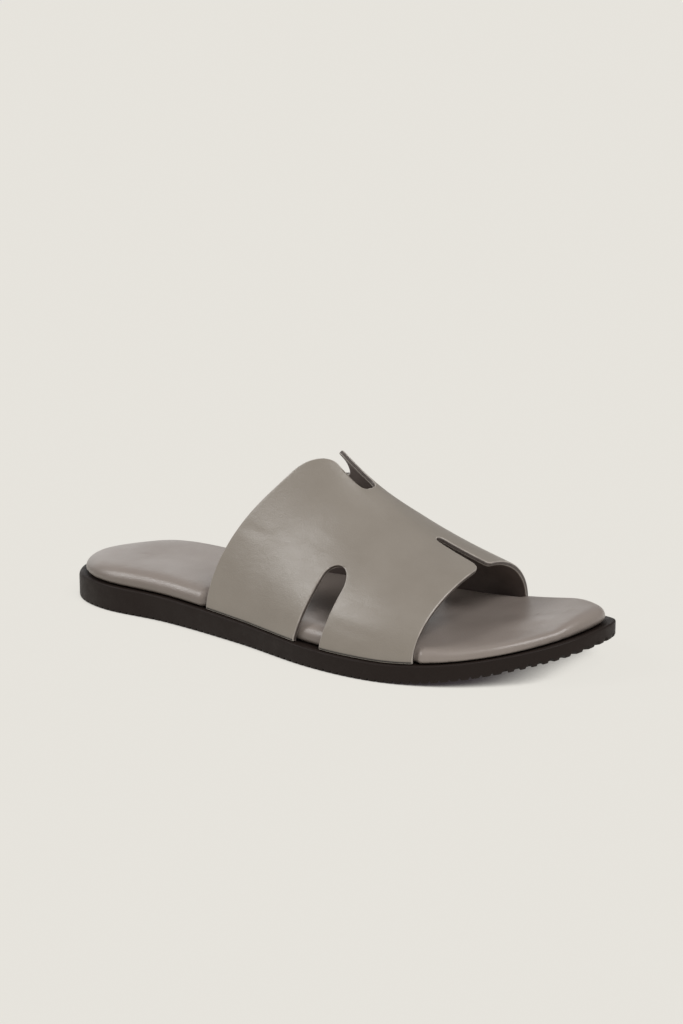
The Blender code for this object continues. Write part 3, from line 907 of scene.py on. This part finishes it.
def mark_side(bm):
    """Writes how high each vertex lies on the footbed's side, and how much painted shade that side gets."""
    side_height = bm.verts.layers.float.new("side_height")
    side_shade = bm.verts.layers.float.new("side_shade")
    for vert in bm.verts:
        share_along = vert.co.x * 1000.0 / LENGTH + 0.5
        height = height_over_seat(vert) / FOOTBED_THICKNESS
        low = smooth_step((SHADE_TOP - height) / SHADE_HEIGHT)
        vert[side_height] = height
        vert[side_shade] = SIDE_SHADE * low * smooth_step((SHADE_END - share_along) / SHADE_LENGTH)


def make_footbed(leather):
    """The padded footbed with its puffed edge, faint dish and small gathers at the lower edge."""
    angles = np.arange(FOOTBED_STEPS) * math.tau / FOOTBED_STEPS
    medial = angles < math.pi
    along = outline_point(angles)[0]
    puff = 1.0 + (HEEL_PUFF - 1.0) * smooth_step(1.0 - along / (2.0 * LENGTH * HEEL_END_ZONE))
    rings = footbed_side(angles, along, medial, puff)
    rings += footbed_top(rings[-1], along, medial, FOOTBED_RINGS[-1].inset * FOOTBED_THICKNESS * puff)
    rings.insert(0, middle_line(rings[0]))
    bm = stack_rings(rings)
    cushion = [v for v in bm.verts if height_over_seat(v) > CUSHION_LEVEL * FOOTBED_THICKNESS]
    for _ in range(CUSHION_ROUNDS):
        bmesh.ops.smooth_vert(bm, verts=cushion, factor=0.5, use_axis_z=True)
    mark_side(bm)
    piece = finish_piece(bm, "footbed_pad", (leather,), 60.0)
    return piece


# Materials

# The painted shade on the leather in the narrow gap over the sole
DEEP_SHADE = (0.012, 0.009, 0.007)

# How far the painted shadow reaches on the paper under the shoe
SHADE_REACH = 12.0


class Finish:
    """A material under construction: its nodes are added by kind and joined by name.

    The colour and roughness that it starts with are its plain look, before any pattern is linked in.
    """

    def __init__(self, name, colour, roughness):
        self.material = bpy.data.materials.new(name)
        self.material.use_nodes = True
        self.nodes = self.material.node_tree.nodes
        self.links = self.material.node_tree.links
        self.shader = self.nodes["Principled BSDF"]
        self.shader.inputs["Base Color"].default_value = (*colour, 1.0)
        self.shader.inputs["Roughness"].default_value = roughness
        self.place = self.nodes.new("ShaderNodeTexCoord").outputs["Object"]

    def link(self, source, node, socket):
        self.links.new(source, node.inputs[socket])

    def stretched(self, scale, turn=(0.0, 0.0, 0.0)):
        """Object coordinates stretched and turned, for a pattern that runs one way."""
        mapping = self.nodes.new("ShaderNodeMapping")
        mapping.inputs["Scale"].default_value = scale
        mapping.inputs["Rotation"].default_value = tuple(math.radians(a) for a in turn)
        self.link(self.place, mapping, "Vector")
        return mapping.outputs["Vector"]

    def noise(self, scale, detail=3.0, roughness=0.5, distortion=0.0, at=None):
        node = self.nodes.new("ShaderNodeTexNoise")
        node.inputs["Scale"].default_value = scale
        node.inputs["Detail"].default_value = detail
        node.inputs["Roughness"].default_value = roughness
        node.inputs["Distortion"].default_value = distortion
        self.link(at or self.place, node, "Vector")
        return node.outputs["Fac"]

    def cells(self, scale):
        node = self.nodes.new("ShaderNodeTexVoronoi")
        node.inputs["Scale"].default_value = scale
        self.link(self.place, node, "Vector")
        return node.outputs["Distance"]

    def ranged(self, value, low, high, to_low=0.0, to_high=1.0):
        node = self.nodes.new("ShaderNodeMapRange")
        node.inputs["From Min"].default_value = low
        node.inputs["From Max"].default_value = high
        node.inputs["To Min"].default_value = to_low
        node.inputs["To Max"].default_value = to_high
        self.link(value, node, "Value")
        return node.outputs["Result"]

    def blended(self, amount, first, second):
        """A colour between two, each a colour or another node's output."""
        node = self.nodes.new("ShaderNodeMix")
        node.data_type = "RGBA"
        self.link(amount, node, "Factor")
        for socket, colour in ((node.inputs[6], first), (node.inputs[7], second)):
            if isinstance(colour, tuple):
                socket.default_value = (*colour, 1.0)
            else:
                self.links.new(colour, socket)
        return node.outputs[2]

    def attribute(self, name):
        node = self.nodes.new("ShaderNodeAttribute")
        node.attribute_name = name
        return node.outputs["Fac"]

    def bump(self, height, distance):
        """Adds a layer of relief over the layers that are there."""
        node = self.nodes.new("ShaderNodeBump")
        node.inputs["Distance"].default_value = distance
        node.inputs["Strength"].default_value = 1.0
        self.link(height, node, "Height")
        before = self.shader.inputs["Normal"]
        if before.is_linked:
            self.links.new(before.links[0].from_socket, node.inputs["Normal"])
        self.links.new(node.outputs["Normal"], self.shader.inputs["Normal"])


def upper_leather():
    """Smooth taupe leather: faint mottling, fine grain, a pale highlight painted along the cut edges, and
    painted shade in the gap over the sole.
    """
    finish = Finish("upper_leather", (0.27, 0.24, 0.205), 0.42)
    mottle = finish.ranged(finish.noise(38.0, 4.0, 0.55), 0.35, 0.68)
    colour = finish.blended(mottle, (0.262, 0.229, 0.192), (0.287, 0.253, 0.215))
    # Painted highlight: a pale line along the cut edges
    rim = finish.ranged(finish.attribute("edge_distance"), 0.15, 0.55, 0.6, 0.0)
    colour = finish.blended(rim, colour, (0.40, 0.36, 0.315))
    # Painted shade: the leather turns nearly black in the narrow gap over the sole
    gap = finish.ranged(finish.attribute("foot_height"), 0.8, 1.4, 1.0, 0.0)
    finish.link(finish.blended(gap, colour, DEEP_SHADE), finish.shader, "Base Color")
    streaks = finish.noise(150.0, 5.0, 0.6, 0.8, finish.stretched((0.6, 1.5, 1.5), (0.0, 24.0, 0.0)))
    rough = finish.ranged(streaks, 0.3, 0.7, 0.31, 0.41)
    finish.link(rough, finish.shader, "Roughness")
    finish.shader.inputs["Specular IOR Level"].default_value = 0.6
    finish.bump(finish.noise(45.0, 2.0, 0.5), 0.00015)
    finish.bump(finish.noise(120.0, 5.0, 0.62, 1.6), 0.00011)
    finish.bump(streaks, 0.00010)
    finish.bump(finish.cells(1500.0), 0.00003)
    finish.bump(finish.noise(4200.0, 2.0), 0.00002)
    return finish.material


def lining_leather():
    """The darker, drier leather inside the upper."""
    finish = Finish("lining_leather", (0.16, 0.132, 0.116), 0.62)
    mottle = finish.ranged(finish.noise(60.0, 4.0), 0.35, 0.65)
    colour = finish.blended(mottle, (0.135, 0.104, 0.093), (0.17, 0.135, 0.12))
    finish.link(colour, finish.shader, "Base Color")
    finish.bump(finish.noise(900.0, 3.0), 0.00006)
    return finish.material


def cut_edge_leather():
    """The dark raw fibre between the two faces of the upper."""
    finish = Finish("cut_edge_leather", (0.13, 0.105, 0.094), 0.55)
    fibre = finish.ranged(finish.noise(700.0, 4.0), 0.3, 0.7)
    colour = finish.blended(fibre, (0.07, 0.056, 0.049), (0.12, 0.098, 0.087))
    finish.link(colour, finish.shader, "Base Color")
    finish.bump(finish.noise(1400.0, 3.0), 0.00005)
    return finish.material


def rim_leather():
    """The burnished corners of the cut edges, painted pale as their highlight."""
    finish = Finish("rim_leather", (0.38, 0.34, 0.30), 0.30)
    # Painted highlight: the rounded corners are coloured pale, with an uneven tone
    rim_highlight_tone = finish.ranged(finish.noise(180.0, 4.0), 0.35, 0.65)
    colour = finish.blended(rim_highlight_tone, (0.32, 0.285, 0.25), (0.45, 0.405, 0.36))
    finish.link(colour, finish.shader, "Base Color")
    finish.shader.inputs["Specular IOR Level"].default_value = 0.7
    return finish.material


def footbed_leather():
    """Soft taupe leather over padding, a little more rosy than the upper."""
    finish = Finish("footbed_leather", (0.275, 0.238, 0.215), 0.40)
    mottle = finish.ranged(finish.noise(30.0, 4.0, 0.6), 0.35, 0.68)
    colour = finish.blended(mottle, (0.262, 0.221, 0.194), (0.292, 0.249, 0.221))
    # Painted shade: the footbed's side turns darker low down, from the heel to the ball
    colour = finish.blended(finish.attribute("side_shade"), colour, (0.13, 0.108, 0.092))
    # Painted shade: the footbed turns nearly black in the narrow gap over the sole
    gap = finish.ranged(finish.attribute("side_height"), 0.04, 0.10, 1.0, 0.0)
    finish.link(finish.blended(gap, colour, DEEP_SHADE), finish.shader, "Base Color")
    finish.link(finish.ranged(finish.noise(85.0, 4.0), 0.3, 0.7, 0.30, 0.38), finish.shader, "Roughness")
    finish.shader.inputs["Specular IOR Level"].default_value = 0.65
    finish.bump(finish.noise(45.0, 3.0), 0.0004)
    finish.bump(finish.cells(1300.0), 0.00005)
    finish.bump(finish.noise(3600.0, 2.0), 0.00002)
    return finish.material


def sole_rubber():
    """Dark brown rubber with a satin moulded skin and a few dusty scuffs."""
    finish = Finish("sole_rubber", (0.014, 0.010, 0.0085), 0.55)
    dust = finish.ranged(finish.noise(70.0, 6.0, 0.7), 0.58, 0.82, 0.0, 0.4)
    colour = finish.blended(dust, (0.0165, 0.0104, 0.0082), (0.042, 0.032, 0.027))
    finish.link(colour, finish.shader, "Base Color")
    finish.link(finish.ranged(finish.noise(160.0, 4.0), 0.3, 0.7, 0.48, 0.62), finish.shader, "Roughness")
    finish.shader.inputs["Specular IOR Level"].default_value = 0.2
    finish.bump(finish.noise(260.0, 4.0), 0.00012)
    finish.bump(finish.noise(2400.0, 2.0), 0.00003)
    return finish.material


def studio_paper():
    """The plain pale paper. It glows evenly, with a shadow painted into the glow close to the shoe."""
    finish = Finish("studio_paper", (0.05, 0.048, 0.046), 1.0)
    finish.shader.inputs["Specular IOR Level"].default_value = 0.0
    # Painted shadow: the glow turns dark where ambient occlusion finds the shoe close by
    close = finish.nodes.new("ShaderNodeAmbientOcclusion")
    close.samples = 16
    close.inputs["Distance"].default_value = SHADE_REACH / 1000.0
    open_air = finish.ranged(close.outputs["AO"], 0.10, 0.58)
    glow = finish.blended(open_air, (0.03, 0.024, 0.027), (0.748, 0.727, 0.677))
    finish.link(glow, finish.shader, "Emission Color")
    finish.shader.inputs["Emission Strength"].default_value = 1.0
    return finish.material


# Stage, lights and camera

FLOOR_SIZE = 12.0
ROOM_COLOUR = (0.29, 0.285, 0.28)

# Soft lamps far away: the side that each shines from, how wide it looks in degrees, and how strong it is
Lamp = namedtuple("Lamp", "name side width strength")
LAMPS = (
    Lamp("key_light", (-0.63, -0.42, 0.64), 26.0, 0.93),
    Lamp("fill_light", (0.57, -0.20, 0.80), 32.0, 1.70),
    Lamp("back_light", (-0.74, 0.60, 0.28), 40.0, 0.26),
)


def make_stage():
    """A wide, plain paper floor."""
    bm = bmesh.new()
    bmesh.ops.create_grid(bm, x_segments=1, y_segments=1, size=FLOOR_SIZE)
    mesh = bpy.data.meshes.new("paper")
    bm.to_mesh(mesh)
    bm.free()
    mesh.materials.append(studio_paper())
    paper = bpy.data.objects.new("paper", mesh)
    bpy.context.scene.collection.objects.link(paper)


def aim(thing, target):
    """Turns a lamp or the camera towards a point."""
    thing.rotation_euler = (Vector(target) - thing.location).to_track_quat("-Z", "Y").to_euler()


def make_lights():
    """An even, pale room with a few broad, soft lamps."""
    world = bpy.data.worlds.new("studio")
    bpy.context.scene.world = world
    world.use_nodes = True
    world.node_tree.nodes["Background"].inputs["Color"].default_value = (*ROOM_COLOUR, 1.0)
    for lamp in LAMPS:
        data = bpy.data.lights.new(lamp.name, "SUN")
        data.angle = math.radians(lamp.width)
        data.energy = lamp.strength
        light = bpy.data.objects.new(lamp.name, data)
        bpy.context.scene.collection.objects.link(light)
        light.location = lamp.side
        aim(light, (0.0, 0.0, 0.0))


# Where the camera stands and looks, in the part's own metres
CAMERA_PLACE = (0.59634, -0.95635, 0.35243)
CAMERA_TARGET = (0.0105, 0.0, 0.030)
CAMERA_LENS = 87.0
CAMERA_SHIFT = 0.06


def make_camera():
    """The camera at the photograph's place, aimed so that the shoe fills the width."""
    camera = bpy.data.cameras.new("camera")
    camera.sensor_fit = "VERTICAL"
    camera.sensor_height = 36.0
    camera.lens = CAMERA_LENS
    camera.clip_start = 0.05
    camera.shift_y = CAMERA_SHIFT
    viewer = bpy.data.objects.new("camera", camera)
    bpy.context.scene.collection.objects.link(viewer)
    viewer.location = CAMERA_PLACE
    aim(viewer, CAMERA_TARGET)
    bpy.context.scene.camera = viewer


bpy.context.scene.view_settings.view_transform = "Standard"
make_outsole(sole_rubber())
make_footbed(footbed_leather())
make_upper(upper_leather(), lining_leather(), cut_edge_leather(), rim_leather())
make_stage()
make_lights()
make_camera()
